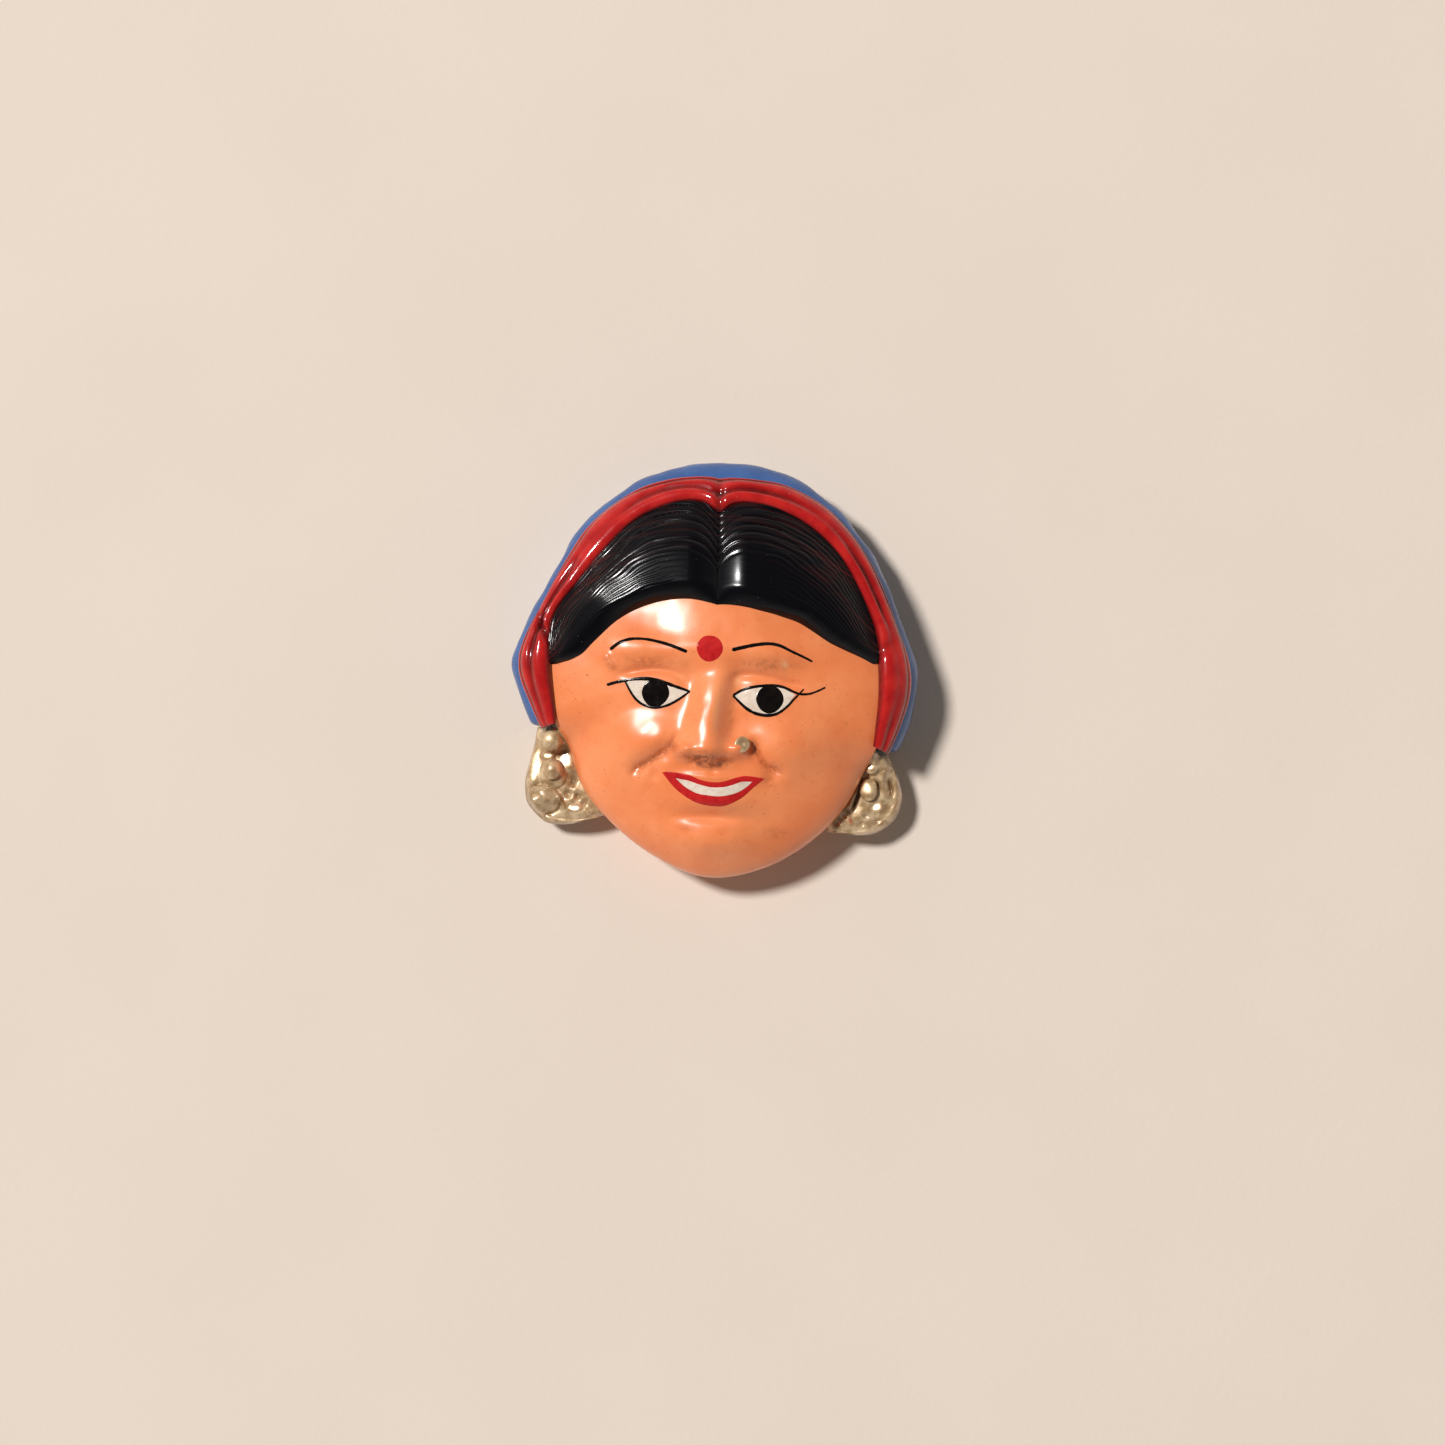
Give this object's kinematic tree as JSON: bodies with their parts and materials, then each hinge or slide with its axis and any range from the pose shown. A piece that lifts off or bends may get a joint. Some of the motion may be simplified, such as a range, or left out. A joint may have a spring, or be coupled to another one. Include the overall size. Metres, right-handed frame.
{
  "type": "folk craft face mask magnet",
  "caption": "Small hollow moulded and painted folk-craft face mask with a hemmed veil, parted hair and drop earrings, closed at the back by a card that holds a fridge magnet.",
  "frame": {"origin": "centre of the flat back, on the surface that the mask lies on", "axes": "+Z out of the face, +Y towards the crown, +X to the right of someone who looks at the face"},
  "size_m": [0.0499, 0.0512, 0.0181],
  "materials": {
    "face_enamel": "gloss",
    "hair_enamel": "gloss",
    "veil_enamel": "satin",
    "hem_enamel": "gloss",
    "gold_paint": "gloss",
    "white_enamel": "gloss",
    "greyboard": "matte",
    "ferrite": "satin"
  },
  "bodies": {
    "root": {"face_shell": "face_enamel", "hair_left": "hair_enamel", "hair_right": "hair_enamel", "veil": "veil_enamel", "veil_hem": "hem_enamel", "left_ear_stud": "gold_paint", "left_ear_bead": "gold_paint", "left_earring": "gold_paint", "right_ear_stud": "gold_paint", "right_ear_bead": "gold_paint", "right_earring": "gold_paint", "nose_stud": "gold_paint", "backing_card": "greyboard", "magnet": "ferrite", "magnet_cup": "greyboard"}
  },
  "joints": []
}
